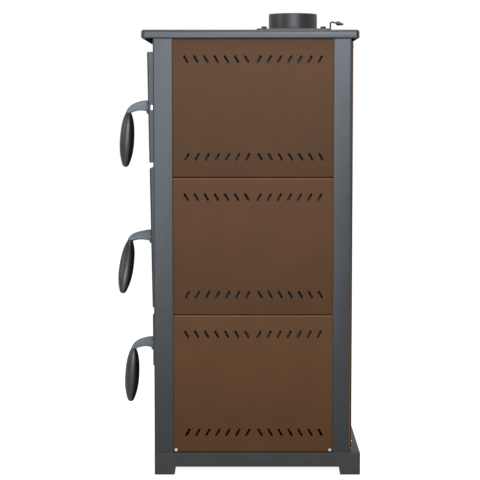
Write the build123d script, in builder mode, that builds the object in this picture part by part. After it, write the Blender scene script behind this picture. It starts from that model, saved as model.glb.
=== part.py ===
from build123d import *
import os
from math import cos, radians, sin

# A tall wood cookstove: oven above, fire chamber in the middle, ash space below, all in one narrow
# enamelled body. +Z is up, the doors face -Y, and the origin is on the floor under the middle of the
# whole outline, handles included. Every length is in millimetres.

os.makedirs("parts", exist_ok=True)

# Body and plinth
body_width = 410
body_depth = 462
top_height = 1048
plinth_height = 53
plinth_side = 2
plinth_depth = 487
plinth_sheet = 3
plinth_edge = 1.8
foot_height = 19
foot_length = 50.5
foot_taper = 3

# Corner posts, folded from sheet
post_sheet = 3
front_post_width = 45
rear_post_width = 41
post_face_width = 45
post_round = 3.2
post_edge = 1.3

# Top plate, pressed with a turned-down lip
top_overhang_side = 10
top_overhang_front = 26.5
top_overhang_rear = 18
top_lip = 20
top_sheet = 3
top_round = 6
lip_edge_round = 2.5
top_corner = 9

# Side panels: three shallow trays on each side, with slanted air slots
panel_sheet = 1.5
panel_return = 14
panel_lap = 24
panel_round = 3.2
panel_gap = 1.2
lower_seam_drop = 12.1
upper_seam_drop = 33.1
slot_length = 20
slot_width = 5.6
slot_slant = 60
slots_in_group = 7
slot_pitch = 23.65
slot_group_gap = 28.9
slot_head_inset = 45
slot_foot_inset = 48
slot_low_row_shift = 2.5

# Rear cover and lower front panel
cover_half_width = 182
cover_depth = 5.5
cover_foot_gap = 8
cover_head_gap = 6
cover_round = 2
cover_screw_inset = 12
lower_panel_set_in = 1
lower_panel_gap = 3
lower_panel_round = 2.5

# Front frame behind the doors
frame_set_in = 12
frame_sheet = 3
frame_side_gap = 0.5
jamb_sheet = 3
opening_half_width = 140
opening_corner = 8

# Doors: each is a tray whose outer face leans out a little towards the top
door_gap_side = 3
door_overlap = 18
door_back_gap = 2
door_skin = 3
door_rim = 2.5
door_round = 4
seal_land_sheet = 2
seal_land_set_in = 3
seal_width = 8
seal_inset = 5
seal_play = 0.2
oven_door_head_gap = 49.5
oven_door_height = 260.9
oven_door_low_reach = 12.3
oven_door_high_reach = 16.8
fire_door_head_gap = 12.3
fire_door_height = 332.6
fire_door_low_reach = 6.4
fire_door_high_reach = 11.8
ash_door_head_gap = 15.5
ash_door_height = 124.7
ash_door_low_reach = 5.5
ash_door_high_reach = 6.2

# Fire door window
window_half_width = 90
window_height = 210
window_corner = 12
window_bevel = 2
glass_lap = 10
glass_thickness = 4
clip_width = 14
clip_foot = 11
clip_sheet = 2
clip_side_play = 0.3

# Ash door air slide
air_slot_count = 4
air_slot_width = 10
air_slot_height = 18
air_slot_pitch = 28
air_slot_drop = 20
air_slide_sheet = 2
air_slide_margin = 8
air_slide_play = 0.25
air_tab_width = 12
air_tab_height = 5
air_tab_reach = 7.5
air_rail_width = 6
air_rail_sheet = 1.5

# Hinges: three pairs of lift-off knuckles on the left
hinge_offset = 9
hinge_reach = 9
knuckle_radius = 6
knuckle_height = 18
hinge_pin_radius = 3
hinge_play = 0.05
press_play = 0.02
knuckle_gap = 0.5
pin_dome = 3
hinge_leaf_sheet = 2.2
hinge_leaf_depth = 8
bracket_length = 30
bracket_sheet = 3
hinge_inset = 45
ash_hinge_inset = 30

# Latches and handles
handle_x = 118
ash_handle_drop = 13.8
spindle_radius = 5
boss_radius = 9
spindle_play = 0.05
hub_radius = 15.5
hub_thickness = 5
arm_thickness = 12
arm_round = 2.6
arm_bore_depth = 14
arm_root_up = 17
arm_rise_out = 24
arm_rise_up = 13.6
arm_waist_out = 15
arm_root_run = (1, 0)
arm_end_run = (0.35, -1)
arm_waist_run = (-1, 0.4)
arm_hub_run = (-0.4, -1)
grip_neck_run = (0.5, -1)
grip_tip_run = (-1, 0)
arm_waist_down = 7.5
grip_out = 48.5
grip_down = 12.2
grip_neck_radius = 6.2
grip_radius = 17
grip_tip_radius = 9.5
grip_length = 130
grip_belly = 56
grip_lean = 3.7
fire_grip_out = 51.5
fire_grip_down = 9.5
fire_grip_lean = 7.2
fire_handle_turn = 18
tongue_reach = 19
tongue_half_width = 4
tongue_hub_radius = 8
tongue_sheet = 4
tongue_play = 0.4
spindle_end = 1.6
keeper_reach = 13
keeper_drop = 5
keeper_height = 15
plug_length = 12
plug_width = 5
plug_proud = 1
plug_set_in = 5.7

# Inner body, fire chamber and ash space
shell_half_width = 172
shell_sheet = 3
bed_drop = 0.7
bed_sheet = 4
bed_hole_width = 190
bed_hole_depth = 250
grate_width = 210
grate_depth = 270
grate_thickness = 13
grate_slot_count = 8
grate_slot_width = 11
grate_slot_pitch = 23
grate_rim = 16
brick_thickness = 30
brick_head_drop = 35.3
brick_joint = 0.8
brick_edge = 1.5
brick_front_gap = 5
brick_play = 0.5
baffle_thickness = 6
baffle_front_gap = 95
baffle_play = 1
pan_half_width = 128
pan_front_gap = 28
pan_length = 360
pan_height = 80
pan_sheet = 2
pan_round = 6
pan_lip_half_width = 55
pan_lip_reach = 14
pan_lip_drop = 12

# Oven
oven_sheet = 2
oven_length = 385
runner_reach = 8
runner_sheet = 2.5
runner_front_gap = 16
runner_count = 3
rack_play = 2.5
rack_seat_play = 0.05
rack_frame_radius = 3
rack_bar_radius = 2
rack_bar_count = 11
rack_front_gap = 16
rack_length = 350

# Flue collar and its bolts
flue_radius = 59
flue_wall = 4
flue_height = 47
flue_back_gap = 131
flange_half_width = 89
flange_thickness = 8.5
flange_corner = 12
flange_foot_round = 5
flue_rim_round = 1.6
bolt_spread = 71
bolt_radius = 4
bolt_play = 0.5
bolt_head_radius = 7.5
bolt_head_height = 5.3
bolt_tail = 9
nut_height = 6.5

# Flue damper: a plate on an upright rod, turned by a small knob
damper_x = -38
damper_flange_gap = 5
damper_back_gap = 5
damper_rod_radius = 2
damper_play = 0.05
damper_plate_gap = 3
damper_plate_sheet = 2
damper_plate_drop = 11
damper_boss_radius = 7
damper_boss_height = 9
damper_swing = 65
damper_collar_radius = 4
damper_collar_height = 2.5
damper_rise = 31
damper_bend = 4
damper_wire_out = 15
damper_droop = 12
damper_knob_radius = 5
damper_knob_length = 10
damper_bead_radius = 3
damper_bead_length = 7.5
damper_knob_round = 1.6

# Panel screws
screw_radius = 2
screw_head_radius = 3.6
screw_head_height = 1.4
screw_length = 5
screw_play = 0.3
panel_screw_inset = 6

# Derived places
half_width = body_width / 2
oven_door_high = top_height - oven_door_head_gap
oven_door_low = oven_door_high - oven_door_height
fire_door_high = oven_door_low - fire_door_head_gap
fire_door_low = fire_door_high - fire_door_height
ash_door_high = fire_door_low - ash_door_head_gap
ash_door_low = ash_door_high - ash_door_height
upper_seam = oven_door_low - upper_seam_drop
lower_seam = fire_door_low - lower_seam_drop
oven_handle_z = (oven_door_low + oven_door_high) / 2
fire_handle_z = (fire_door_low + fire_door_high) / 2
ash_handle_z = (ash_door_low + ash_door_high) / 2 - ash_handle_drop
doors = {
    "oven": (oven_door_low, oven_door_high, oven_handle_z),
    "fire": (fire_door_low, fire_door_high, fire_handle_z),
    "ash": (ash_door_low, ash_door_high, ash_handle_z),
}
reaches = {
    "oven": (oven_door_low_reach, oven_door_high_reach),
    "fire": (fire_door_low_reach, fire_door_high_reach),
    "ash": (ash_door_low_reach, ash_door_high_reach),
}


def door_reach(name, z):
    """How far a door's leaning face stands in front of the posts at a height."""
    low, high, handle_z = doors[name]
    low_reach, high_reach = reaches[name]
    return low_reach + (z - low) * (high_reach - low_reach) / (high - low)


fire_grip_reach = fire_grip_out + grip_radius + grip_belly * sin(radians(fire_grip_lean))
handle_front = door_reach("fire", fire_handle_z) + fire_grip_reach
face_y = (handle_front - plinth_depth) / 2
back_y = face_y + body_depth
under_top = top_height - top_sheet
frame_y = face_y + frame_set_in
frame_back_y = frame_y + frame_sheet
post_inner_x = half_width - post_face_width
panel_x = half_width - post_sheet
door_half_width = post_inner_x - door_gap_side
door_back_y = frame_y - door_back_gap
seal_land_y = door_back_y - seal_land_set_in - seal_land_sheet
flue_y = back_y - flue_back_gap
flue_bore = flue_radius - flue_wall
damper_y = flue_y + flange_half_width + damper_flange_gap
shell_back_y = damper_y + damper_boss_radius + damper_back_gap + shell_sheet
shell_inner_x = shell_half_width - shell_sheet
shell_inner_y = shell_back_y - shell_sheet
shell_floor = ash_door_low + door_overlap - shell_sheet
bed_height = fire_door_low - bed_drop
bed_top = bed_height + bed_sheet
brick_top = fire_door_high - brick_head_drop
hinge_x = -door_half_width - hinge_offset
hinge_y = face_y - hinge_reach
oven_opening_low = oven_door_low + door_overlap
oven_opening_high = oven_door_high - door_overlap
middle_y = face_y + (front_post_width + body_depth - rear_post_width) / 2


def block(x, y, z, mode=Mode.ADD):
    """A block in the part being built, from its low and high place on each axis."""
    with Locations(((x[0] + x[1]) / 2, (y[0] + y[1]) / 2, (z[0] + z[1]) / 2)):
        Box(x[1] - x[0], y[1] - y[0], z[1] - z[0], mode=mode)


def both(half):
    """The low and high place of something centred on the middle plane."""
    return (-half, half)


def save(builder, name):
    """Labels a finished piece and writes it."""
    builder.part.label = name
    export_step(builder.part, f"parts/{name}.step")


# Plinth: a folded tray whose skirt is cut away between four feet
with BuildPart() as plinth_base:
    plinth_half = half_width + plinth_side
    plinth_back_y = face_y + plinth_depth
    block(both(plinth_half), (face_y, plinth_back_y), (0, plinth_height))
    fillet(plinth_base.edges().filter_by(Axis.Z), plinth_edge)
    fillet(plinth_base.faces().sort_by(Axis.Z)[-1].edges(), plinth_edge)
    block(
        both(plinth_half - plinth_sheet),
        (face_y + plinth_sheet, plinth_back_y - plinth_sheet),
        (0, plinth_height - plinth_sheet),
        Mode.SUBTRACT,
    )
    for plane, low, high, length in (
        (Plane.YZ, face_y + foot_length, plinth_back_y - foot_length, plinth_half),
        (Plane.XZ, foot_length - plinth_half, plinth_half - foot_length, plinth_depth),
    ):
        with BuildSketch(plane):
            with BuildLine():
                Polyline(
                    (low - foot_taper, 0),
                    (high + foot_taper, 0),
                    (high, foot_height),
                    (low, foot_height),
                    close=True,
                )
            make_face()
        extrude(amount=2 * length, both=True, mode=Mode.SUBTRACT)
save(plinth_base, "plinth_base")


def corner_post(side, corner_y, inward, width, name):
    """An angle section standing on the plinth, its corner outward."""
    x = side * half_width
    with BuildPart() as post:
        with BuildSketch(Plane.XY.offset(plinth_height)):
            with BuildLine():
                Polyline(
                    (x, corner_y),
                    (x - side * post_face_width, corner_y),
                    (x - side * post_face_width, corner_y + inward * post_sheet),
                    (x - side * post_sheet, corner_y + inward * post_sheet),
                    (x - side * post_sheet, corner_y + inward * width),
                    (x, corner_y + inward * width),
                    close=True,
                )
            outline = make_face()
            fillet(outline.vertices().sort_by_distance((x, corner_y, 0))[0], post_round)
        extrude(amount=under_top - plinth_height)
        free_edge = Vector(x, corner_y + inward * width, (plinth_height + under_top) / 2)
        fillet(post.edges().filter_by(Axis.Z).sort_by_distance(free_edge)[0], post_edge)
    save(post, name)


corner_post(-1, face_y, 1, front_post_width, "front_left_post")
corner_post(1, face_y, 1, front_post_width, "front_right_post")
corner_post(-1, back_y, -1, rear_post_width, "rear_left_post")
corner_post(1, back_y, -1, rear_post_width, "rear_right_post")


def slot_places(row_shift):
    """Each slot's place along the panel and the sign of its slant, front group first."""
    half_gap = slot_group_gap / 2
    run = [half_gap + index * slot_pitch for index in range(slots_in_group)]
    front = [(middle_y + row_shift - place, 1) for place in run]
    rear = [(middle_y + row_shift + place, -1) for place in run]
    return front + rear


def side_panel(side, low, high, hidden, name):
    """A tray with two rows of slanted slots, its face against the posts' sheets. The height that the
    top plate's lip hides sets the upper row lower."""
    x_out = side * panel_x
    x_in = side * (panel_x - panel_return)
    y_low = face_y + panel_lap
    y_high = back_y - panel_lap
    with BuildPart() as panel:
        block(sorted((x_in, x_out)), (y_low, y_high), (low, high))
        fillet(panel.faces().sort_by(Axis.X)[-1 if side > 0 else 0].edges(), panel_round)
        block(
            sorted((x_in, x_out - side * panel_sheet)),
            (y_low + panel_sheet, y_high - panel_sheet),
            (low + panel_sheet, high - panel_sheet),
            Mode.SUBTRACT,
        )
        with BuildSketch(Plane.YZ.offset(x_out)):
            for place, lie in slot_places(0):
                with Locations((place, high - hidden - slot_head_inset)):
                    SlotOverall(slot_length, slot_width, rotation=-lie * slot_slant)
            for place, lie in slot_places(slot_low_row_shift):
                with Locations((place, low + slot_foot_inset)):
                    SlotOverall(slot_length, slot_width, rotation=lie * slot_slant)
        extrude(amount=-side * 2 * panel_sheet, mode=Mode.SUBTRACT)
        if low == plinth_height:
            with BuildSketch(Plane.YZ.offset(x_out)):
                with Locations(*panel_screw_places):
                    Circle(screw_radius + screw_play)
            extrude(amount=-side * 2 * panel_sheet, mode=Mode.SUBTRACT)
    save(panel, name)


panel_screw_places = [
    (face_y + front_post_width + panel_screw_inset, plinth_height + panel_screw_inset),
    (back_y - rear_post_width - panel_screw_inset, plinth_height + panel_screw_inset),
]
for side, hand in ((-1, "left"), (1, "right")):
    side_panel(side, plinth_height, lower_seam - panel_gap / 2, 0, f"{hand}_lower_panel")
    side_panel(side, lower_seam + panel_gap / 2, upper_seam - panel_gap / 2, 0, f"{hand}_middle_panel")
    side_panel(side, upper_seam + panel_gap / 2, under_top, top_lip, f"{hand}_upper_panel")

# Rear cover: a shallow tray standing on the back of the rear posts
cover_low = plinth_height + cover_foot_gap
cover_high = top_height - top_lip - cover_head_gap
with BuildPart() as rear_cover:
    block(both(cover_half_width), (back_y, back_y + cover_depth), (cover_low, cover_high))
    fillet(rear_cover.faces().sort_by(Axis.Y)[-1].edges(), cover_round)
    block(
        both(cover_half_width - panel_sheet),
        (back_y, back_y + cover_depth - panel_sheet),
        (cover_low + panel_sheet, cover_high - panel_sheet),
        Mode.SUBTRACT,
    )
    cover_screws = [
        (side * (cover_half_width - cover_screw_inset), z)
        for side in (-1, 1)
        for z in (
            cover_low + cover_screw_inset,
            (cover_low + cover_high) / 2,
            cover_high - cover_screw_inset,
        )
    ]
    with BuildSketch(Plane.XZ.offset(-back_y - cover_depth)):
        with Locations(*cover_screws):
            Circle(screw_radius + screw_play)
    extrude(amount=2 * panel_sheet, mode=Mode.SUBTRACT)
save(rear_cover, "rear_cover")


def screw(plane):
    """A low round-headed screw whose head rests on the plane."""
    with BuildSketch(plane) as head:
        Circle(screw_head_radius)
    extrude(head.sketch, amount=screw_head_height)
    with BuildSketch(plane) as shank:
        Circle(screw_radius)
    extrude(shank.sketch, amount=-screw_length)


with BuildPart() as panel_screws:
    for y, z in panel_screw_places:
        for side in (-1, 1):
            screw(Plane(origin=(side * panel_x, y, z), z_dir=(side, 0, 0)))
    for x, z in cover_screws:
        screw(Plane(origin=(x, back_y + cover_depth, z), z_dir=(0, 1, 0)))
save(panel_screws, "panel_screws")

# Front frame: strips round the three openings, and jambs behind the posts' edges
with BuildPart() as front_frame:
    for side in (-1, 1):
        block(
            sorted((side * opening_half_width, side * (panel_x - frame_side_gap))),
            (frame_y, frame_back_y),
            (plinth_height, under_top),
        )
        block(
            sorted((side * post_inner_x, side * (post_inner_x + jamb_sheet))),
            (face_y + post_sheet, frame_y),
            (plinth_height, under_top),
        )
    rail_edges = [plinth_height]
    for low, high, handle_z in sorted(doors.values()):
        rail_edges += [low + door_overlap, high - door_overlap]
    rail_edges.append(under_top)
    for low, high in zip(rail_edges[::2], rail_edges[1::2]):
        block(both(opening_half_width - frame_side_gap), (frame_y, frame_back_y), (low, high))
save(front_frame, "front_frame")

# Lower front panel, below the ash door
with BuildPart() as lower_front_panel:
    lower_panel_y = face_y + lower_panel_set_in
    lower_panel_low = plinth_height + lower_panel_gap
    lower_panel_high = ash_door_low - lower_panel_gap
    block(both(door_half_width), (lower_panel_y, frame_y), (lower_panel_low, lower_panel_high))
    fillet(lower_front_panel.faces().sort_by(Axis.Y)[0].edges(), lower_panel_round)
    block(
        both(door_half_width - panel_sheet),
        (lower_panel_y + panel_sheet, frame_y),
        (lower_panel_low + panel_sheet, lower_panel_high - panel_sheet),
        Mode.SUBTRACT,
    )
save(lower_front_panel, "lower_front_panel")

# Top plate
bolt_places = [(sx * bolt_spread, flue_y + sy * bolt_spread) for sx in (-1, 1) for sy in (-1, 1)]
with BuildPart() as top_plate:
    top_x = half_width + top_overhang_side
    top_front_y = face_y - top_overhang_front
    top_back_y = back_y + top_overhang_rear
    block(both(top_x), (top_front_y, top_back_y), (top_height - top_lip, top_height))
    fillet(top_plate.edges().filter_by(Axis.Z), top_corner)
    fillet(top_plate.faces().sort_by(Axis.Z)[-1].edges(), top_round)
    fillet(top_plate.faces().sort_by(Axis.Z)[0].edges(), lip_edge_round)
    block(
        both(top_x - top_sheet),
        (top_front_y + top_sheet, top_back_y - top_sheet),
        (top_height - top_lip, under_top),
        Mode.SUBTRACT,
    )
    with BuildSketch(Plane.XY.offset(top_height)):
        with Locations((0, flue_y)):
            Circle(flue_bore)
        with Locations((damper_x, damper_y)):
            Circle(damper_rod_radius + damper_play)
        with Locations(*bolt_places):
            Circle(bolt_radius + bolt_play)
    extrude(amount=-top_sheet, mode=Mode.SUBTRACT)
save(top_plate, "top_plate")

# Flue collar: a cast spigot on a square flange
flange_top = top_height + flange_thickness
with BuildPart() as flue_collar:
    with BuildSketch(Plane.XY.offset(top_height)):
        with Locations((0, flue_y)):
            RectangleRounded(2 * flange_half_width, 2 * flange_half_width, flange_corner)
    extrude(amount=flange_thickness)
    with BuildSketch(Plane.XY.offset(top_height)):
        with Locations((0, flue_y)):
            Circle(flue_radius)
    extrude(amount=flue_height)
    spigot_foot = flue_collar.edges().filter_by(GeomType.CIRCLE).group_by(Axis.Z)[-2]
    fillet(spigot_foot.sort_by(SortBy.RADIUS)[-1], flange_foot_round)
    fillet(flue_collar.faces().sort_by(Axis.Z)[-1].edges(), flue_rim_round)
    with BuildSketch(Plane.XY.offset(top_height)):
        with Locations((0, flue_y)):
            Circle(flue_bore)
        with Locations(*bolt_places):
            Circle(bolt_radius + bolt_play)
    extrude(amount=flue_height, mode=Mode.SUBTRACT)
save(flue_collar, "flue_collar")

with BuildPart() as flange_bolts:
    for place in bolt_places:
        with BuildSketch(Plane.XY.offset(flange_top)):
            with Locations(place):
                RegularPolygon(bolt_head_radius, 6)
        extrude(amount=bolt_head_height)
        with BuildSketch(Plane.XY.offset(flange_top)):
            with Locations(place):
                Circle(bolt_radius)
        extrude(amount=-flange_thickness - top_sheet - bolt_tail)
        with BuildSketch(Plane.XY.offset(under_top)):
            with Locations(place):
                RegularPolygon(bolt_head_radius, 6)
                Circle(bolt_radius + press_play, mode=Mode.SUBTRACT)
        extrude(amount=-nut_height)
save(flange_bolts, "flange_bolts")

# Inner body: one welded box, open to the front frame and to the top plate
with BuildPart() as body_shell:
    block(both(shell_half_width), (frame_back_y, shell_back_y), (shell_floor, under_top))
    block(
        both(shell_inner_x),
        (frame_back_y, shell_inner_y),
        (shell_floor + shell_sheet, under_top),
        Mode.SUBTRACT,
    )
save(body_shell, "body_shell")

# Grate bed and grate
bed_middle_y = (frame_back_y + shell_inner_y) / 2
with BuildPart() as grate_bed:
    block(both(shell_inner_x), (frame_back_y, shell_inner_y), (bed_height, bed_top))
    with BuildSketch(Plane.XY.offset(bed_top)):
        with Locations((0, bed_middle_y)):
            Rectangle(bed_hole_width, bed_hole_depth)
    extrude(amount=-bed_sheet, mode=Mode.SUBTRACT)
save(grate_bed, "grate_bed")

with BuildPart() as grate:
    with BuildSketch(Plane.XY.offset(bed_top)):
        with Locations((0, bed_middle_y)):
            RectangleRounded(grate_width, grate_depth, grate_rim / 2)
            with GridLocations(grate_slot_pitch, 1, grate_slot_count, 1):
                SlotOverall(grate_depth - 2 * grate_rim, grate_slot_width, rotation=90, mode=Mode.SUBTRACT)
    extrude(amount=grate_thickness)
save(grate, "grate")


def brick_wall(x, y, rows, columns, along, name):
    """Firebricks standing on the grate bed, two high, with fine joints between them."""
    z_step = (brick_top - bed_top) / rows
    with BuildPart() as wall:
        for row in range(rows):
            joint_above = brick_joint if row < rows - 1 else 0
            z = (bed_top + row * z_step, bed_top + (row + 1) * z_step - joint_above)
            for column in range(columns):
                span = y if along == "y" else x
                step = (span[1] - span[0]) / columns
                cut = (span[0] + column * step, span[0] + (column + 1) * step - brick_joint)
                block(*((x, cut, z) if along == "y" else (cut, y, z)))
        chamfer(wall.edges().filter_by(Axis.Z), brick_edge)
    save(wall, name)


brick_x = (shell_inner_x - brick_thickness, shell_inner_x)
brick_y = (frame_back_y + brick_front_gap, shell_inner_y)
brick_wall((-brick_x[1], -brick_x[0]), brick_y, 2, 2, "y", "left_firebricks")
brick_wall(brick_x, brick_y, 2, 2, "y", "right_firebricks")
rear_brick_x = both(brick_x[0] - brick_play)
rear_brick_y = (shell_inner_y - brick_thickness, shell_inner_y)
brick_wall(rear_brick_x, rear_brick_y, 2, 2, "x", "rear_firebricks")

with BuildPart() as baffle_plate:
    block(
        both(shell_inner_x - baffle_play),
        (frame_back_y + baffle_front_gap, shell_inner_y - baffle_play),
        (brick_top, brick_top + baffle_thickness),
    )
    fillet(baffle_plate.edges().filter_by(Axis.Z), baffle_thickness)
save(baffle_plate, "baffle_plate")

# Ash pan: an open tray on the shell's floor, with a turned lip to pull it by
pan_low = shell_floor + shell_sheet
pan_front_y = frame_back_y + pan_front_gap
with BuildPart() as ash_pan:
    block(both(pan_half_width), (pan_front_y, pan_front_y + pan_length), (pan_low, pan_low + pan_height))
    fillet(ash_pan.edges().filter_by(Axis.Z), pan_round)
    block(
        both(pan_half_width - pan_sheet),
        (pan_front_y + pan_sheet, pan_front_y + pan_length - pan_sheet),
        (pan_low + pan_sheet, pan_low + pan_height),
        Mode.SUBTRACT,
    )
    lip_z = pan_low + pan_height
    block(both(pan_lip_half_width), (pan_front_y - pan_lip_reach, pan_front_y), (lip_z - pan_sheet, lip_z))
    block(
        both(pan_lip_half_width),
        (pan_front_y - pan_lip_reach, pan_front_y - pan_lip_reach + pan_sheet),
        (lip_z - pan_lip_drop, lip_z),
    )
save(ash_pan, "ash_pan")

# Oven box: a rounded sleeve closed at the back, with rack runners pressed into its sides
oven_height = oven_opening_high - oven_opening_low
oven_middle_z = (oven_opening_low + oven_opening_high) / 2
oven_back_y = frame_back_y + oven_length
runner_step = oven_height / (runner_count + 1)
runner_levels = [oven_opening_low + runner_step * (index + 1) for index in range(runner_count)]
with BuildPart() as oven_box:
    with BuildSketch(Plane.XZ.offset(-oven_back_y)):
        with Locations((0, oven_middle_z)):
            RectangleRounded(
                2 * (opening_half_width + oven_sheet),
                oven_height + 2 * oven_sheet,
                opening_corner + oven_sheet,
            )
    extrude(amount=oven_length)
    with BuildSketch(Plane.XZ.offset(oven_sheet - oven_back_y)):
        with Locations((0, oven_middle_z)):
            RectangleRounded(2 * opening_half_width, oven_height, opening_corner)
    extrude(amount=oven_length - oven_sheet, mode=Mode.SUBTRACT)
    for side in (-1, 1):
        for level in runner_levels:
            block(
                sorted((side * (opening_half_width - runner_reach), side * opening_half_width)),
                (frame_back_y + runner_front_gap, oven_back_y - oven_sheet),
                (level - runner_sheet, level),
            )
save(oven_box, "oven_box")

rack_x = opening_half_width - rack_play - rack_frame_radius
rack_z = runner_levels[runner_count // 2] + rack_frame_radius + rack_seat_play
rack_y = (
    frame_back_y + rack_front_gap + rack_frame_radius,
    frame_back_y + rack_front_gap + rack_length - rack_frame_radius,
)
with BuildPart() as oven_rack:
    for side in (-1, 1):
        with BuildSketch(Plane.XZ.offset(-rack_y[0])):
            with Locations((side * rack_x, rack_z)):
                Circle(rack_frame_radius)
        extrude(amount=rack_y[0] - rack_y[1])
        with Locations((side * rack_x, rack_y[0], rack_z), (side * rack_x, rack_y[1], rack_z)):
            Sphere(rack_frame_radius)
    for y in rack_y:
        with BuildSketch(Plane.YZ.offset(-rack_x)):
            with Locations((y, rack_z)):
                Circle(rack_frame_radius)
        extrude(amount=2 * rack_x)
    rack_step = (rack_y[1] - rack_y[0]) / (rack_bar_count + 1)
    with BuildSketch(Plane.YZ.offset(-rack_x)):
        for index in range(rack_bar_count):
            with Locations((rack_y[0] + (index + 1) * rack_step, rack_z)):
                Circle(rack_bar_radius)
    extrude(amount=2 * rack_x)
save(oven_rack, "oven_rack")

# Flue damper. At rest it stands open, its plate to the left of the flue and its knob to the rear.
damper_plate_radius = flue_bore - damper_plate_gap
damper_reach = ((damper_x**2) + (flue_y - damper_y) ** 2) ** 0.5
closed_direction = Vector(-damper_x, flue_y - damper_y).normalized()
open_direction = closed_direction.rotate(Axis.Z, -damper_swing)
plate_centre = Vector(damper_x, damper_y) + open_direction * damper_reach
plate_top = under_top - damper_plate_drop
rod_top = top_height + damper_rise
rod_bottom = plate_top - damper_boss_height / 2
droop = Vector(0, cos(radians(damper_droop)), -sin(radians(damper_droop)))
with BuildPart() as damper_rod:
    with BuildLine() as wire_path:
        FilletPolyline(
            (damper_x, damper_y, rod_bottom),
            (damper_x, damper_y, rod_top),
            Vector(damper_x, damper_y, rod_top) + droop * damper_wire_out,
            radius=damper_bend,
        )
    with BuildSketch(Plane.XY.offset(rod_bottom)):
        with Locations((damper_x, damper_y)):
            Circle(damper_rod_radius)
    sweep(path=wire_path.line)
    with BuildSketch(Plane.XY.offset(top_height)):
        with Locations((damper_x, damper_y)):
            Circle(damper_collar_radius)
    extrude(amount=damper_collar_height)
save(damper_rod, "damper_rod")

knob_plane = Plane(origin=Vector(damper_x, damper_y, rod_top) + droop * damper_wire_out, z_dir=droop)
with BuildPart() as damper_knob:
    with BuildSketch(knob_plane):
        Circle(damper_knob_radius)
    extrude(amount=damper_knob_length)
    fillet(damper_knob.edges().filter_by(GeomType.CIRCLE), damper_knob_round)
    with BuildSketch(knob_plane.offset(damper_knob_length)):
        Circle(damper_bead_radius)
    extrude(amount=damper_bead_length)
    fillet(damper_knob.faces().sort_by(Axis.Y)[-1].edges(), damper_knob_round)
save(damper_knob, "damper_knob")

with BuildPart() as damper_plate:
    with BuildSketch(Plane.XY.offset(plate_top)):
        with Locations(plate_centre):
            Circle(damper_plate_radius)
        with Locations((damper_x, damper_y)):
            Circle(damper_boss_radius)
        make_hull()
    extrude(amount=-damper_plate_sheet)
    with BuildSketch(Plane.XY.offset(plate_top + damper_boss_height / 2)):
        with Locations((damper_x, damper_y)):
            Circle(damper_boss_radius)
    extrude(amount=-damper_boss_height)
    with BuildSketch(Plane.XY.offset(plate_top + damper_boss_height / 2)):
        with Locations((damper_x, damper_y)):
            Circle(damper_rod_radius + press_play)
    extrude(amount=-damper_boss_height, mode=Mode.SUBTRACT)
save(damper_plate, "damper_plate")

# Hinge places: the top face of each fixed knuckle
hinge_insets = {"oven": hinge_inset, "fire": hinge_inset, "ash": ash_hinge_inset}
hinge_levels = {
    name: (low + hinge_insets[name], high - hinge_insets[name])
    for name, (low, high, handle_z) in doors.items()
}


def upright(radius, low, high, mode=Mode.ADD):
    """A round bar on the hinge line."""
    with BuildSketch(Plane.XY.offset(low)) as ring:
        with Locations((hinge_x, hinge_y)):
            Circle(radius)
    extrude(ring.sketch, amount=high - low, mode=mode)


with BuildPart() as hinge_brackets:
    for levels in hinge_levels.values():
        for level in levels:
            low = level - knuckle_height
            block((hinge_x - knuckle_radius, hinge_x + knuckle_radius), (hinge_y, face_y), (low, level))
            block(
                (hinge_x + knuckle_radius - bracket_length, hinge_x + knuckle_radius),
                (face_y - bracket_sheet, face_y),
                (low, level),
            )
            upright(knuckle_radius, low, level)
            upright(hinge_pin_radius + press_play, low, level, Mode.SUBTRACT)
save(hinge_brackets, "hinge_brackets")

with BuildPart() as hinge_pins:
    for levels in hinge_levels.values():
        for level in levels:
            upright(hinge_pin_radius, level - knuckle_height, level + knuckle_gap + knuckle_height + pin_dome)
    fillet(hinge_pins.faces().filter_by(Plane.XY).group_by(SortBy.AREA)[0].edges(), hinge_pin_radius / 4)
save(hinge_pins, "hinge_pins")


def door_knuckles(levels, name):
    """The door's own sleeves, dropped over the pins, each with a leaf to the door's edge."""
    with BuildPart() as knuckles:
        for level in levels:
            low = level + knuckle_gap
            high = low + knuckle_height
            upright(knuckle_radius, low, high)
            block(
                (hinge_x, -door_half_width),
                (hinge_y - knuckle_radius / 2, hinge_y + knuckle_radius / 2),
                (low, high),
            )
            block(
                (-door_half_width - hinge_leaf_sheet, -door_half_width),
                (hinge_y - knuckle_radius / 2, face_y + hinge_leaf_depth),
                (low, high),
            )
            upright(hinge_pin_radius + hinge_play, low, high, Mode.SUBTRACT)
    save(knuckles, name)


for name, levels in hinge_levels.items():
    door_knuckles(levels, f"{name}_door_knuckles")


def facing(x, y, z):
    """A plane that looks out of the stove's front, +X to its right and +Z up."""
    return Plane(origin=(x, y, z), x_dir=(1, 0, 0), z_dir=(0, -1, 0))


def front_ring(y, depth, low, high, half, inset, width, mode=Mode.ADD):
    """A rectangular ring around a door's opening, from y forward by depth."""
    outer = half - inset
    height = high - low - 2 * inset
    with BuildSketch(facing(0, y, (low + high) / 2)) as ring:
        RectangleRounded(2 * outer, height, opening_corner)
        Rectangle(2 * (outer - width), height - 2 * width, mode=Mode.SUBTRACT)
    extrude(ring.sketch, amount=depth, mode=mode)


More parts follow.
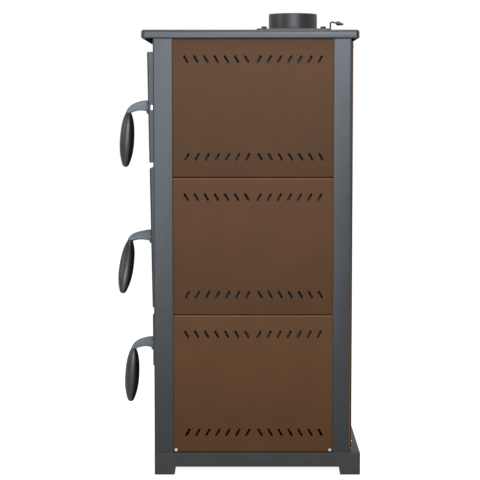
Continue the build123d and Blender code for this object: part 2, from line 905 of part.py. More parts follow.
def door_body(name):
    """A door's tray with its leaning face and the boss for its spindle; gives the skin's back."""
    low, high, handle_z = doors[name]
    face_low = face_y - door_reach(name, low)
    face_high = face_y - door_reach(name, high)
    with BuildSketch(Plane.YZ.offset(-door_half_width)) as outline:
        with BuildLine():
            Polyline((door_back_y, low), (face_low, low), (face_high, high), (door_back_y, high), close=True)
        make_face()
    tray = extrude(outline.sketch, amount=2 * door_half_width)
    fillet(tray.faces().sort_by(Axis.Y)[0].edges(), door_round)
    cavity_y = face_low + door_skin
    block(
        both(door_half_width - door_rim),
        (cavity_y, door_back_y),
        (low + door_rim, high - door_rim),
        Mode.SUBTRACT,
    )
    with BuildSketch(facing(handle_x, seal_land_y, handle_z)) as boss:
        Circle(boss_radius)
    extrude(boss.sketch, amount=seal_land_y - cavity_y)
    return cavity_y


def spindle_bore(handle_z):
    """The running hole for the spindle, through the boss and the skin."""
    with BuildSketch(facing(handle_x, door_back_y, handle_z)) as bore:
        Circle(spindle_radius + spindle_play)
    extrude(bore.sketch, amount=plinth_height, mode=Mode.SUBTRACT)


def seal_land(low, high):
    """The rib inside the tray's rim that carries the rope seal."""
    front_ring(
        seal_land_y + seal_land_sheet,
        seal_land_sheet,
        low,
        high,
        door_half_width,
        door_rim,
        seal_width + seal_inset,
    )


def door_seal(low, high, name):
    """The rope seal, pressed flat against the front frame."""
    with BuildPart() as seal:
        front_ring(
            frame_y - seal_play,
            frame_y - seal_play - seal_land_y - seal_land_sheet,
            low,
            high,
            door_half_width,
            door_rim + seal_inset,
            seal_width,
        )
        fillet(seal.faces().sort_by(Axis.Y)[-1].edges(), seal_width / 5)
    save(seal, name)


# Oven door, with a plain liner over the back of its tray
low, high, handle_z = doors["oven"]
with BuildPart() as oven_door_panel:
    door_body("oven")
    spindle_bore(handle_z)
save(oven_door_panel, "oven_door_panel")

with BuildPart() as oven_door_liner:
    with BuildSketch(facing(0, seal_land_y + seal_land_sheet, (low + high) / 2)):
        RectangleRounded(2 * (door_half_width - door_rim), high - low - 2 * door_rim, opening_corner)
        with Locations((handle_x, handle_z - (low + high) / 2)):
            Circle(spindle_radius + screw_play, mode=Mode.SUBTRACT)
    extrude(amount=seal_land_sheet)
save(oven_door_liner, "oven_door_liner")

# Plug over the latch's set screw, in the oven door's edge
with BuildPart() as oven_latch_plug:
    with BuildSketch(Plane.YZ.offset(door_half_width)):
        with Locations((face_y - plug_set_in, handle_z)):
            SlotOverall(plug_length, plug_width, rotation=90)
    extrude(amount=plug_proud)
save(oven_latch_plug, "oven_latch_plug")

# Fire door, with its window, glass and clips
low, high, handle_z = doors["fire"]
window_z = (low + high) / 2
with BuildPart() as fire_door_panel:
    glass_y = door_body("fire")
    seal_land(low, high)
    spindle_bore(handle_z)
    with BuildSketch(facing(0, glass_y, window_z)):
        RectangleRounded(2 * window_half_width, window_height, window_corner)
    extrude(amount=door_skin + fire_door_high_reach, mode=Mode.SUBTRACT)
    front_face = fire_door_panel.faces().filter_by(GeomType.PLANE).sort_by(Axis.Y)[0]
    chamfer(front_face.inner_wires().sort_by(Edge.length)[-1].edges(), window_bevel)
save(fire_door_panel, "fire_door_panel")

glass_half_width = window_half_width + glass_lap
glass_back_y = glass_y + glass_thickness
with BuildPart() as fire_door_glass:
    with BuildSketch(facing(0, glass_back_y, window_z)):
        RectangleRounded(2 * glass_half_width, window_height + 2 * glass_lap, window_corner / 4)
    extrude(amount=glass_thickness)
save(fire_door_glass, "fire_door_glass")

with BuildPart() as glass_clips:
    for side in (-1, 1):
        for level in (-1, 1):
            z = window_z + level * window_height / 3
            reach = sorted((side * (glass_half_width - glass_lap / 2), side * (glass_half_width + clip_foot)))
            foot = sorted((side * (glass_half_width + clip_side_play), side * (glass_half_width + clip_foot)))
            span = (z - clip_width / 2, z + clip_width / 2)
            block(reach, (glass_back_y, glass_back_y + clip_sheet), span)
            block(foot, (glass_y, glass_back_y), span)
save(glass_clips, "glass_clips")

# Ash door, with air slots, a slide behind them and two rails that hold the slide
low, high, handle_z = doors["ash"]
air_z = (low + high) / 2 - air_slot_drop
air_slide_travel = air_slot_pitch / 2
air_slide_half_height = air_slot_height / 2 + air_slide_margin
air_slide_half_length = (air_slot_count * air_slot_pitch) / 2 + air_slide_margin
with BuildPart() as ash_door_panel:
    air_y = door_body("ash")
    seal_land(low, high)
    spindle_bore(handle_z)
    with BuildSketch(facing(0, air_y, air_z)):
        with GridLocations(air_slot_pitch, 1, air_slot_count, 1):
            SlotOverall(air_slot_height, air_slot_width, rotation=90)
    extrude(amount=door_skin + ash_door_high_reach, mode=Mode.SUBTRACT)
    tab_z = air_z - air_slide_half_height + air_tab_height / 2
    block(
        (-air_tab_width / 2 - air_slide_play, air_tab_width / 2 + air_slide_travel + air_slide_play),
        (air_y - door_skin - ash_door_high_reach, air_y),
        (tab_z - air_tab_height / 2 - air_slide_play, tab_z + air_tab_height / 2 + air_slide_play),
        Mode.SUBTRACT,
    )
    for level in (-1, 1):
        rail_edge = air_z + level * (air_slide_half_height + air_slide_play)
        rail_y = air_y + air_slide_play + air_slide_sheet + air_slide_play
        rail_reach = both(air_slide_half_length)
        block(rail_reach, (air_y, rail_y), sorted((rail_edge, rail_edge + level * air_rail_sheet)))
        block(
            rail_reach,
            (rail_y, rail_y + air_rail_sheet),
            sorted((rail_edge - level * air_rail_width, rail_edge + level * air_rail_sheet)),
        )
save(ash_door_panel, "ash_door_panel")

with BuildPart() as air_slide:
    slide_y = air_y + air_slide_play + air_slide_sheet
    slide_x = (-air_slide_half_length, air_slide_half_length - air_slide_travel)
    block(
        slide_x,
        (slide_y - air_slide_sheet, slide_y),
        (air_z - air_slide_half_height, air_z + air_slide_half_height),
    )
    with BuildSketch(facing(-air_slot_pitch / 2, slide_y, air_z)):
        with GridLocations(air_slot_pitch, 1, air_slot_count, 1):
            SlotOverall(air_slot_height, air_slot_width, rotation=90)
    extrude(amount=air_slide_sheet, mode=Mode.SUBTRACT)
    block(
        both(air_tab_width / 2),
        (face_y - door_reach("ash", air_z) - air_tab_reach, slide_y),
        (tab_z - air_tab_height / 2, tab_z + air_tab_height / 2),
    )
save(air_slide, "air_slide")

for name, (low, high, handle_z) in doors.items():
    door_seal(low, high, f"{name}_door_seal")

# Keepers: tabs welded to the edge of each opening, just below the tongue's rest place
with BuildPart() as latch_keepers:
    for low, high, handle_z in doors.values():
        block(
            (opening_half_width - keeper_reach, opening_half_width),
            (frame_y, frame_back_y),
            (handle_z - keeper_drop - keeper_height, handle_z - keeper_drop),
        )
save(latch_keepers, "latch_keepers")


def handle(name, turn, out, down, lean_out):
    """A latch handle: hub and arm, grip, spindle and tongue, turned by an angle about the spindle."""
    handle_z = doors[name][-1]
    root_y = face_y - door_reach(name, handle_z + arm_root_up)
    across = Vector(cos(radians(turn)), 0, sin(radians(turn)))
    root = Plane(origin=(handle_x, root_y, handle_z), x_dir=across, z_dir=(0, -1, 0))
    side_on = Plane(origin=root.origin, x_dir=root.z_dir, z_dir=-across)
    axis_out = Vector(cos(radians(lean_out)), sin(radians(lean_out)))
    neck = Vector(out, -down)
    outer_end = neck + axis_out * grip_neck_radius
    inner_end = neck - axis_out * grip_neck_radius

    with BuildPart() as arm:
        with BuildSketch(side_on):
            with BuildLine():
                Spline(
                    (0, arm_root_up),
                    (arm_rise_out, arm_rise_up),
                    outer_end,
                    tangents=(arm_root_run, arm_end_run),
                )
                Line(outer_end, inner_end)
                Spline(
                    inner_end,
                    (arm_waist_out, -arm_waist_down),
                    (0, -hub_radius),
                    tangents=(arm_waist_run, arm_hub_run),
                )
                Line((0, -hub_radius), (0, arm_root_up))
            make_face()
        extrude(amount=arm_thickness / 2, both=True)
        long_edges = arm.edges().filter_by(GeomType.BSPLINE)
        fillet(long_edges, arm_round)
        with BuildSketch(root):
            Circle(hub_radius)
        extrude(amount=hub_thickness)
        with BuildSketch(root):
            Circle(spindle_radius + press_play)
        extrude(amount=arm_bore_depth, mode=Mode.SUBTRACT)
    save(arm, f"{name}_handle_arm")

    grip_plane = Plane(
        origin=side_on.from_local_coords(neck),
        x_dir=side_on.x_dir * axis_out.X + side_on.y_dir * axis_out.Y,
        z_dir=side_on.z_dir,
    )
    with BuildPart() as grip:
        with BuildSketch(grip_plane):
            with BuildLine():
                Line((0, -grip_length), (0, 0))
                Line((0, 0), (grip_neck_radius, 0))
                Spline(
                    (grip_neck_radius, 0),
                    (grip_radius, -grip_belly),
                    (grip_tip_radius, -grip_length + grip_tip_radius),
                    (0, -grip_length),
                    tangents=(grip_neck_run, grip_tip_run),
                )
            make_face()
        revolve(axis=Axis(grip_plane.origin, grip_plane.y_dir))
    save(grip, f"{name}_handle_grip")

    tongue_y = frame_back_y + tongue_play
    spindle_tail = tongue_y + tongue_sheet + spindle_end
    with BuildPart() as spindle:
        with BuildSketch(root.offset(arm_bore_depth)):
            Circle(spindle_radius)
        extrude(amount=root_y - arm_bore_depth - spindle_tail)
    save(spindle, f"{name}_spindle")

    with BuildPart() as tongue:
        with BuildSketch(root.offset(root_y - tongue_y - tongue_sheet)):
            Circle(tongue_hub_radius)
            with Locations((tongue_reach / 2, 0)):
                Rectangle(tongue_reach, 2 * tongue_half_width)
            Circle(spindle_radius + press_play, mode=Mode.SUBTRACT)
        extrude(amount=tongue_sheet)
    save(tongue, f"{name}_tongue")


handle("oven", 0, grip_out, grip_down, grip_lean)
handle("fire", fire_handle_turn, fire_grip_out, fire_grip_down, fire_grip_lean)
handle("ash", 0, grip_out, grip_down, grip_lean)
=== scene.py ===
import bmesh
import bpy
import math
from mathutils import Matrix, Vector


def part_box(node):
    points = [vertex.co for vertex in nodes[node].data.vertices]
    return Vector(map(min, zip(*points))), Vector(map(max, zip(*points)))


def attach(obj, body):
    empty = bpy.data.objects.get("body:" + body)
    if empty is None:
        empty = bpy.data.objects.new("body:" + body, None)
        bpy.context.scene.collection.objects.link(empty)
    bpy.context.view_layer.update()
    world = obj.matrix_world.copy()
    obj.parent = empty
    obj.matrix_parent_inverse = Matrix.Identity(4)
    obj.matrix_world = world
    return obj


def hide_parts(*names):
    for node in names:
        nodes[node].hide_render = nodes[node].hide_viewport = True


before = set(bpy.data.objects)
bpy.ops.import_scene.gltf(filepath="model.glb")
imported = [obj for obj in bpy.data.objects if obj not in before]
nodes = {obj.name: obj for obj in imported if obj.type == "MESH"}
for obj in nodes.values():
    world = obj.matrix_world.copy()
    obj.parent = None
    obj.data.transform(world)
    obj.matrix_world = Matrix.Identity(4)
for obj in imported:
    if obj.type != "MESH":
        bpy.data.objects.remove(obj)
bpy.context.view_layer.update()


# colours and node helpers
def linear(hex_colour):
    """An sRGB hex value as linear red, green, blue and alpha."""
    parts = [int(hex_colour[i : i + 2], 16) / 255 for i in (1, 3, 5)]
    return [p / 12.92 if p <= 0.04045 else ((p + 0.055) / 1.055) ** 2.4 for p in parts] + [1.0]


def add(tree, kind, settings=None, links=None, values=None):
    """One shader node with its settings, the outputs linked to it and its unlinked values."""
    node = tree.nodes.new(kind)
    for name, value in (settings or {}).items():
        setattr(node, name, value)
    for name, value in (values or {}).items():
        node.inputs[name].default_value = value
    for name, output in (links or {}).items():
        tree.links.new(output, node.inputs[name])
    return node


def new_material(name):
    """An empty node material with its shader and the object's own coordinates, in metres."""
    material = bpy.data.materials.new(name)
    material.use_nodes = True
    tree = material.node_tree
    tree.nodes.clear()
    shader = tree.nodes.new("ShaderNodeBsdfPrincipled")
    out = tree.nodes.new("ShaderNodeOutputMaterial")
    tree.links.new(shader.outputs["BSDF"], out.inputs["Surface"])
    place = tree.nodes.new("ShaderNodeTexCoord").outputs["Object"]
    return material, tree, shader, place


def mm(size):
    """A texture scale whose pattern repeats about every so many millimetres."""
    return 1000.0 / size


def ramp(tree, factor, stops):
    """A colour ramp from (place, hex colour) stops."""
    node = add(tree, "ShaderNodeValToRGB", links={"Fac": factor})
    band = node.color_ramp
    while len(band.elements) < len(stops):
        band.elements.new(0.5)
    for element, (at, colour) in zip(band.elements, stops):
        element.position = at
        element.color = linear(colour)
    return node.outputs["Color"]


# finishes
def stove_enamel(name, light, base, dark, gloss, shine, painted_light_tones, mottle=38.0, peel=2.2):
    """Stove enamel sprayed on sheet steel and baked: even and hard, faintly clouded in colour, with
    the shallow orange peel of a sprayed coat, which breaks up its highlights. Light and shade are painted
    into the coat's colour by height, as (height in metres, grey hex) stops: #bcbcbc leaves the colour as
    it is, darker greys paint shade and paler greys paint light."""
    material, tree, shader, place = new_material(name)
    cloud = add(
        tree,
        "ShaderNodeTexNoise",
        links={"Vector": place},
        values={"Scale": mm(mottle), "Detail": 4.0, "Roughness": 0.62},
    )
    colour = ramp(tree, cloud.outputs["Fac"], ((0.28, dark), (0.5, base), (0.74, light)))
    # painted light and shade: the coat's colour is scaled by a grey ramp over the object's height
    height = add(tree, "ShaderNodeSeparateXYZ", links={"Vector": place}).outputs["Z"]
    lowest, highest = painted_light_tones[0][0], painted_light_tones[-1][0]
    level = add(
        tree,
        "ShaderNodeMapRange",
        links={"Value": height},
        values={"From Min": lowest, "From Max": highest},
    )
    span = highest - lowest
    painted_light = ramp(tree, level.outputs["Result"], [((z - lowest) / span, grey) for z, grey in painted_light_tones])
    colour_with_painted_light = add(tree, "ShaderNodeMix", {"data_type": "RGBA", "blend_type": "OVERLAY"}, values={0: 1.0})
    tree.links.new(colour, colour_with_painted_light.inputs[6])
    tree.links.new(painted_light, colour_with_painted_light.inputs[7])
    tree.links.new(colour_with_painted_light.outputs[2], shader.inputs["Base Color"])
    shader.inputs["Specular IOR Level"].default_value = shine
    skin = add(
        tree, "ShaderNodeTexNoise", links={"Vector": place}, values={"Scale": mm(peel), "Detail": 2.0}
    )
    rough = add(
        tree,
        "ShaderNodeMapRange",
        links={"Value": cloud.outputs["Fac"]},
        values={"To Min": gloss - 0.05, "To Max": gloss + 0.07},
    )
    tree.links.new(rough.outputs["Result"], shader.inputs["Roughness"])
    bump = add(
        tree,
        "ShaderNodeBump",
        links={"Height": skin.outputs["Fac"]},
        values={"Distance": 0.00006, "Strength": 0.6},
    )
    tree.links.new(bump.outputs["Normal"], shader.inputs["Normal"])
    return material


# Painted shade: the grey enamel of the posts, top plate, frame and doors is painted darker towards the
# floor, to about a fifth of its colour at 5 cm and two thirds at 40 cm, and left as it is from 75 cm up.
post_painted_shade = ((0.05, "#5a5a5a"), (0.4, "#9a9a9a"), (0.75, "#bcbcbc"), (1.05, "#bcbcbc"))
grey_enamel_with_painted_shade = stove_enamel(
    "anthracite_enamel_with_painted_shade", "#282a2d", "#232528", "#1f2123", 0.3, 0.34, post_painted_shade
)
plinth_enamel = stove_enamel(
    "dark_plinth_enamel", "#2c2a28", "#272523", "#22201e", 0.45, 0.22, ((0.0, "#bcbcbc"), (1.0, "#bcbcbc"))
)


def panel_enamel_with_painted_light(node):
    """The brown coat of one panel and its like, in a copy for each panel that carries that panel's painted
    light and a painted highlight along its top edge.
    """
    # Painted light: the panel is painted a little darker at its foot and a little paler towards its head,
    # and twice as bright in a band about 3 mm deep along its top edge, a painted highlight.
    top_highlight_band = 0.0034
    low, high = [corner[2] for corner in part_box(node)]
    painted_light_tones = (
        (low, "#b0b0b0"),
        (low + (high - low) * 0.2, "#b4b4b4"),
        (high - (high - low) * 0.3, "#c2c2c2"),
        (high - top_highlight_band, "#c4c4c4"),
        (high - top_highlight_band + 0.0004, "#ffffff"),
        (high, "#ffffff"),
    )
    name = f"brown_enamel_with_painted_light_{node}"
    return stove_enamel(name, "#51361f", "#4e331d", "#4b311c", 0.42, 0.07, painted_light_tones, mottle=90.0)


# each panel gets its own copy of the brown enamel, with its own painted light and painted highlight
brown_lower = panel_enamel_with_painted_light("right_lower_panel")
brown_middle = panel_enamel_with_painted_light("right_middle_panel")
brown_upper = panel_enamel_with_painted_light("right_upper_panel")
brown_rear = panel_enamel_with_painted_light("rear_cover")
brown_front = panel_enamel_with_painted_light("lower_front_panel")


def black_casting(name, light, dark, rough, grain=1.6, depth=0.0002, shine=0.5):
    """Cast iron under heat paint: near black, with the sand's grain still in the surface and the
    raised grains rubbed a little paler."""
    material, tree, shader, place = new_material(name)
    sand = add(
        tree,
        "ShaderNodeTexNoise",
        links={"Vector": place},
        values={"Scale": mm(grain), "Detail": 5.0, "Roughness": 0.7},
    )
    patch = add(
        tree, "ShaderNodeTexNoise", links={"Vector": place}, values={"Scale": mm(45.0), "Detail": 3.0}
    )
    both = add(
        tree,
        "ShaderNodeMix",
        {"data_type": "FLOAT"},
        links={"A": sand.outputs["Fac"], "B": patch.outputs["Fac"]},
        values={"Factor": 0.5},
    )
    tree.links.new(
        ramp(tree, both.outputs["Result"], ((0.35, dark), (0.66, light))), shader.inputs["Base Color"]
    )
    shader.inputs["Roughness"].default_value = rough
    shader.inputs["Specular IOR Level"].default_value = shine
    bump = add(
        tree,
        "ShaderNodeBump",
        links={"Height": sand.outputs["Fac"]},
        values={"Distance": depth, "Strength": 0.7},
    )
    tree.links.new(bump.outputs["Normal"], shader.inputs["Normal"])
    return material


cast_collar = black_casting(
    "black_heat_paint_on_cast_iron", "#181412", "#0f0c0a", 0.42, depth=0.00006, shine=0.4
)
cast_grey = black_casting("grey_enamelled_casting", "#4d545b", "#3d4247", 0.4, depth=0.00005)
cast_rough = black_casting("bare_cast_iron", "#3a3836", "#262423", 0.7)
heat_paint = black_casting("black_heat_paint_on_steel", "#2c2b2a", "#1f1e1d", 0.62, grain=3.0)


def moulded_grip(name):
    """Black phenolic moulding, pressed in a polished tool: deep even colour under a soft shine, with
    faint clouding from handling."""
    material, tree, shader, place = new_material(name)
    wear = add(
        tree, "ShaderNodeTexNoise", links={"Vector": place}, values={"Scale": mm(22.0), "Detail": 3.0}
    )
    tree.links.new(
        ramp(tree, wear.outputs["Fac"], ((0.35, "#0d0e0f"), (0.7, "#131516"))), shader.inputs["Base Color"]
    )
    rough = add(
        tree,
        "ShaderNodeMapRange",
        links={"Value": wear.outputs["Fac"]},
        values={"To Min": 0.3, "To Max": 0.4},
    )
    tree.links.new(rough.outputs["Result"], shader.inputs["Roughness"])
    shader.inputs["Specular IOR Level"].default_value = 0.45
    fine = add(tree, "ShaderNodeTexNoise", links={"Vector": place}, values={"Scale": mm(0.9)})
    bump = add(
        tree,
        "ShaderNodeBump",
        links={"Height": fine.outputs["Fac"]},
        values={"Distance": 0.00002, "Strength": 0.4},
    )
    tree.links.new(bump.outputs["Normal"], shader.inputs["Normal"])
    return material


phenolic = moulded_grip("black_phenolic_moulding")


def bare_steel(name, light, dark, rough, along=(1, 1, 1)):
    """Bare steel as it left the rolls or the lathe: metallic, with fine scratches that run one way."""
    material, tree, shader, place = new_material(name)
    stretch = add(tree, "ShaderNodeMapping", links={"Vector": place}, values={"Scale": along})
    scratch = add(
        tree,
        "ShaderNodeTexNoise",
        links={"Vector": stretch.outputs["Vector"]},
        values={"Scale": mm(1.2), "Detail": 3.0},
    )
    tree.links.new(
        ramp(tree, scratch.outputs["Fac"], ((0.3, dark), (0.7, light))), shader.inputs["Base Color"]
    )
    shader.inputs["Metallic"].default_value = 1.0
    spread = add(
        tree,
        "ShaderNodeMapRange",
        links={"Value": scratch.outputs["Fac"]},
        values={"To Min": rough - 0.06, "To Max": rough + 0.1},
    )
    tree.links.new(spread.outputs["Result"], shader.inputs["Roughness"])
    return material


turned_steel = bare_steel("turned_steel", "#a9a8a5", "#8b8a88", 0.3, (1, 1, 0.15))
rolled_sheet = bare_steel("rolled_steel_sheet", "#8f8f8e", "#757675", 0.42, (1, 0.08, 1))
rack_wire = bare_steel("bright_drawn_wire", "#b4b4b2", "#9b9b99", 0.25)


def fired_clay(name):
    """Pressed and fired fireclay: pale buff with darker grog grains, and patches of smoke on its face."""
    material, tree, shader, place = new_material(name)
    grog = add(
        tree,
        "ShaderNodeTexVoronoi",
        {"feature": "F1"},
        links={"Vector": place},
        values={"Scale": mm(4.0), "Randomness": 1.0},
    )
    smoke = add(
        tree, "ShaderNodeTexNoise", links={"Vector": place}, values={"Scale": mm(120.0), "Detail": 5.0}
    )
    clay = ramp(tree, grog.outputs["Distance"], ((0.0, "#8d7355"), (0.3, "#b89e79"), (1.0, "#c6b08c")))
    soot = ramp(tree, smoke.outputs["Fac"], ((0.35, "#55493d"), (0.62, "#ffffff")))
    tint = add(
        tree,
        "ShaderNodeMix",
        {"data_type": "RGBA", "blend_type": "MULTIPLY"},
        values={0: 0.7},
    )
    tree.links.new(clay, tint.inputs[6])
    tree.links.new(soot, tint.inputs[7])
    tree.links.new(tint.outputs[2], shader.inputs["Base Color"])
    shader.inputs["Roughness"].default_value = 0.92
    bump = add(
        tree,
        "ShaderNodeBump",
        links={"Height": grog.outputs["Distance"]},
        values={"Distance": 0.0004, "Strength": 0.6},
    )
    tree.links.new(bump.outputs["Normal"], shader.inputs["Normal"])
    return material


fireclay = fired_clay("fired_clay_brick")


def glass_fibre_rope(name):
    """Knitted glass-fibre rope, 8 mm thick: grey-white yarn in slanted strands about 2 mm wide."""
    material, tree, shader, place = new_material(name)
    weave = add(
        tree,
        "ShaderNodeTexWave",
        {"wave_type": "BANDS", "bands_direction": "DIAGONAL"},
        links={"Vector": place},
        values={"Scale": mm(2.0) / 6.28, "Distortion": 2.0, "Detail": 2.0},
    )
    tree.links.new(
        ramp(tree, weave.outputs["Fac"], ((0.1, "#5d5a54"), (0.8, "#98948a"))), shader.inputs["Base Color"]
    )
    shader.inputs["Roughness"].default_value = 0.95
    bump = add(
        tree,
        "ShaderNodeBump",
        links={"Height": weave.outputs["Fac"]},
        values={"Distance": 0.0006, "Strength": 0.8},
    )
    tree.links.new(bump.outputs["Normal"], shader.inputs["Normal"])
    return material


rope = glass_fibre_rope("knitted_glass_fibre_rope")


def stove_glass(name):
    """Heat-proof ceramic glass: clear with a faint amber cast, a little uneven across the pane."""
    material, tree, shader, place = new_material(name)
    haze = add(
        tree, "ShaderNodeTexNoise", links={"Vector": place}, values={"Scale": mm(70.0), "Detail": 4.0}
    )
    tree.links.new(
        ramp(tree, haze.outputs["Fac"], ((0.3, "#d8cfbf"), (0.7, "#e6e1d6"))), shader.inputs["Base Color"]
    )
    shader.inputs["Roughness"].default_value = 0.04
    shader.inputs["Transmission Weight"].default_value = 1.0
    shader.inputs["IOR"].default_value = 1.5
    return material


glass = stove_glass("heat_proof_glass")

# finish of each carried-over node
finish_of = {
    grey_enamel_with_painted_shade: (
        "front_left_post front_right_post rear_left_post rear_right_post top_plate front_frame "
        "oven_door_panel fire_door_panel ash_door_panel"
    ),
    brown_lower: "left_lower_panel right_lower_panel",
    brown_middle: "left_middle_panel right_middle_panel",
    brown_upper: "left_upper_panel right_upper_panel",
    brown_rear: "rear_cover",
    brown_front: "lower_front_panel",
    plinth_enamel: "plinth_base",
    cast_collar: "flue_collar damper_plate",
    cast_grey: "oven_handle_arm fire_handle_arm ash_handle_arm",
    cast_rough: "grate oven_tongue fire_tongue ash_tongue",
    heat_paint: (
        "body_shell grate_bed baffle_plate hinge_brackets latch_keepers oven_door_knuckles "
        "fire_door_knuckles ash_door_knuckles glass_clips air_slide damper_rod "
        "flange_bolts"
    ),
    phenolic: "oven_handle_grip fire_handle_grip ash_handle_grip damper_knob",
    turned_steel: "oven_latch_plug hinge_pins oven_spindle fire_spindle ash_spindle panel_screws",
    rolled_sheet: "ash_pan oven_box oven_door_liner",
    rack_wire: "oven_rack",
    fireclay: "left_firebricks right_firebricks rear_firebricks",
    rope: "oven_door_seal fire_door_seal ash_door_seal",
    glass: "fire_door_glass",
}
for finish, names in finish_of.items():
    for name in names.split():
        piece = nodes[name]
        piece.data.materials.clear()
        piece.data.materials.append(finish)


def smooth_by_angle(name, crease):
    """A modifier that joins the CAD faces' doubled points and rounds the shading of curved faces,
    keeping every edge that turns by more than the crease angle, in degrees, sharp."""
    tree = bpy.data.node_groups.new(name, "GeometryNodeTree")
    tree.interface.new_socket("Geometry", in_out="INPUT", socket_type="NodeSocketGeometry")
    tree.interface.new_socket("Geometry", in_out="OUTPUT", socket_type="NodeSocketGeometry")
    source = add(tree, "NodeGroupInput")
    joined = add(
        tree,
        "GeometryNodeMergeByDistance",
        links={"Geometry": source.outputs["Geometry"]},
        values={"Distance": 0.00001},
    )
    rounded = add(
        tree,
        "GeometryNodeSetShadeSmooth",
        {"domain": "FACE"},
        links={"Geometry": joined.outputs["Geometry"]},
        values={"Shade Smooth": True},
    )
    turn = add(tree, "GeometryNodeInputMeshEdgeAngle")
    creased = add(
        tree,
        "FunctionNodeCompare",
        {"data_type": "FLOAT", "operation": "GREATER_THAN"},
        links={"A": turn.outputs["Unsigned Angle"]},
        values={"B": math.radians(crease)},
    )
    kept = add(
        tree,
        "GeometryNodeSetShadeSmooth",
        {"domain": "EDGE"},
        links={"Geometry": rounded.outputs["Geometry"], "Selection": creased.outputs["Result"]},
        values={"Shade Smooth": False},
    )
    add(tree, "NodeGroupOutput", links={"Geometry": kept.outputs["Geometry"]})
    return tree


shading = smooth_by_angle("smooth_by_angle", 28)
for node_object in nodes.values():
    node_object.modifiers.new("smooth_by_angle", "NODES").node_group = shading


# knitted rope seals, one round the back of each door, in metres
rope_width = 0.008
rope_corner = 0.006
strand_count = 4
strand_radius = 0.0019
strand_lay = 0.014
station_step = 0.0028
ring_sides = 6


def loop_stations(low, high, corner, step):
    """Evenly spaced places round a rectangle with round corners, each with its outward direction."""
    middles = [
        (high[0] - corner, high[1] - corner),
        (low[0] + corner, high[1] - corner),
        (low[0] + corner, low[1] + corner),
        (high[0] - corner, low[1] + corner),
    ]
    stations = []
    for index, middle in enumerate(middles):
        arc_steps = max(3, round(corner * math.pi / 2 / step))
        for k in range(arc_steps):
            turn = math.radians(90 * (index + k / arc_steps))
            out = Vector((math.cos(turn), 0, math.sin(turn)))
            stations.append((Vector((middle[0], 0, middle[1])) + corner * out, out))
        turn = math.radians(90 * (index + 1))
        out = Vector((math.cos(turn), 0, math.sin(turn)))
        following = middles[(index + 1) % len(middles)]
        start = Vector((middle[0], 0, middle[1])) + corner * out
        run = Vector((following[0] - middle[0], 0, following[1] - middle[1]))
        run_steps = max(1, round(run.length / step))
        stations += [(start + run * (k / run_steps), out) for k in range(run_steps)]
    return stations


def rope_seal(node, body):
    """Strands laid round one another along the seal's middle line, inside the seal's own box."""
    low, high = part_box(node)
    half_depth = (high[1] - low[1]) / 2
    middle_y = (low[1] + high[1]) / 2
    half_width = rope_width / 2
    stations = loop_stations(
        (low[0] + half_width, low[2] + half_width),
        (high[0] - half_width, high[2] - half_width),
        rope_corner,
        station_step,
    )
    turns = round(len(stations) * station_step / strand_lay)
    form = bmesh.new()
    for strand in range(strand_count):
        rings = []
        for index, (place, out) in enumerate(stations):
            lay = 2 * math.pi * (turns * index / len(stations) + strand / strand_count)
            middle = place + out * (half_width - strand_radius) * math.cos(lay)
            middle.y = middle_y + (half_depth - strand_radius) * math.sin(lay)
            ring = []
            for side in range(ring_sides):
                angle = 2 * math.pi * side / ring_sides
                across = out * math.cos(angle) + Vector((0, math.sin(angle), 0))
                ring.append(form.verts.new(middle + strand_radius * across))
            rings.append(ring)
        for index, ring in enumerate(rings):
            following = rings[(index + 1) % len(rings)]
            for side in range(ring_sides):
                beside = (side + 1) % ring_sides
                face = form.faces.new((ring[side], ring[beside], following[beside], following[side]))
                face.smooth = True
    bmesh.ops.recalc_face_normals(form, faces=form.faces)
    mesh = bpy.data.meshes.new(f"{node}_rope")
    form.to_mesh(mesh)
    form.free()
    piece = bpy.data.objects.new(f"{node}_rope", mesh)
    bpy.context.collection.objects.link(piece)
    mesh.materials.append(rope)
    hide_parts(node)
    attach(piece, body)


for door in ("oven_door", "fire_door", "ash_door"):
    rope_seal(f"{door}_seal", door)


# room, lights and camera
def seen_directly(tree):
    """1 for what the camera, a mirror or a pane shows, 0 for light that falls on something."""
    path = add(tree, "ShaderNodeLightPath")
    first = add(
        tree,
        "ShaderNodeMath",
        {"operation": "MAXIMUM"},
        links={0: path.outputs["Is Camera Ray"], 1: path.outputs["Is Transmission Ray"]},
    )
    both = add(
        tree,
        "ShaderNodeMath",
        {"operation": "MAXIMUM"},
        links={0: first.outputs["Value"], 1: path.outputs["Is Glossy Ray"]},
    )
    return both.outputs["Value"]


def pale_floor(name):
    """A matt pale floor that shows as white outside the object's soft shadow."""
    material = bpy.data.materials.new(name)
    material.use_nodes = True
    tree = material.node_tree
    tree.nodes.clear()
    matt = add(tree, "ShaderNodeBsdfDiffuse", values={"Color": linear("#b4b4b2")})
    lift = add(tree, "ShaderNodeEmission", values={"Color": linear("#ffffff"), "Strength": 0.9})
    lifted = add(tree, "ShaderNodeAddShader", links={0: matt.outputs["BSDF"], 1: lift.outputs["Emission"]})
    mixed = add(
        tree,
        "ShaderNodeMixShader",
        links={0: seen_directly(tree), 1: matt.outputs["BSDF"], 2: lifted.outputs["Shader"]},
    )
    add(tree, "ShaderNodeOutputMaterial", links={"Surface": mixed.outputs["Shader"]})
    return material


floor_half_width = 9.0
floor_mesh = bpy.data.meshes.new("floor")
form = bmesh.new()
bmesh.ops.create_grid(form, x_segments=1, y_segments=1, size=floor_half_width)
form.to_mesh(floor_mesh)
form.free()
floor = bpy.data.objects.new("floor", floor_mesh)
bpy.context.collection.objects.link(floor)
floor_mesh.materials.append(pale_floor("pale_floor"))

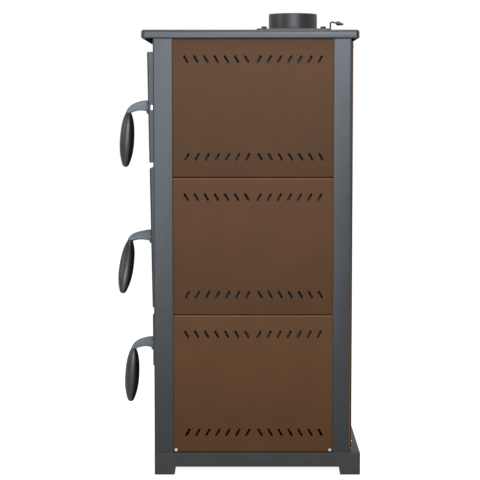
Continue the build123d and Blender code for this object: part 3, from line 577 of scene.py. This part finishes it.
world = bpy.data.worlds.new("studio")
bpy.context.scene.world = world
world.use_nodes = True
tree = world.node_tree
tree.nodes.clear()
soft = add(tree, "ShaderNodeBackground", values={"Color": linear("#e9eef2"), "Strength": 0.4})
white = add(tree, "ShaderNodeBackground", values={"Color": linear("#ffffff"), "Strength": 1.0})
sky = add(
    tree,
    "ShaderNodeMixShader",
    links={0: seen_directly(tree), 1: soft.outputs["Background"], 2: white.outputs["Background"]},
)
add(tree, "ShaderNodeOutputWorld", links={"Surface": sky.outputs["Shader"]})


def soft_box(name, at, towards, width, height, power, colour):
    """A rectangular lamp at a place, turned towards a point, in metres and watts."""
    lamp = bpy.data.lights.new(name, "AREA")
    lamp.shape = "RECTANGLE"
    lamp.size = width
    lamp.size_y = height
    lamp.energy = power
    lamp.color = linear(colour)[:3]
    holder = bpy.data.objects.new(name, lamp)
    bpy.context.collection.objects.link(holder)
    holder.location = at
    holder.rotation_euler = (Vector(towards) - Vector(at)).to_track_quat("-Z", "Y").to_euler()


soft_box("window_lamp", (4.7, -0.75, 1.25), (0.0, -0.3, 1.1), 1.6, 2.4, 92.0, "#e2eefb")
soft_box("high_window_lamp", (4.7, 0.85, 1.95), (0.0, 0.3, 1.4), 1.6, 1.6, 140.0, "#e9f1fb")
soft_box("left_lamp", (1.6, -3.2, 1.9), (0.0, 0.0, 0.7), 1.6, 1.6, 34.0, "#f3f6fa")
soft_box("top_lamp", (0.5, 0.2, 3.2), (0.0, 0.0, 0.5), 1.8, 1.8, 42.0, "#ffffff")

lens = bpy.data.cameras.new("camera")
camera = bpy.data.objects.new("camera", lens)
bpy.context.collection.objects.link(camera)
bpy.context.scene.camera = camera
# The eye is level with the upper door, a little behind the front posts, looking slightly down
lens.sensor_width = 36.0
lens.lens = 115.65
lens.shift_x = -0.0208
lens.shift_y = -0.0315
eye_distance = 3.805
eye_behind_front = 0.226
eye_height = 0.8773
camera.location = (eye_distance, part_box("front_right_post")[0][1] + eye_behind_front, eye_height)
look_down = 4.5
camera.rotation_euler = (math.radians(90 - look_down), 0, math.radians(90))

bpy.context.scene.view_settings.view_transform = "Standard"
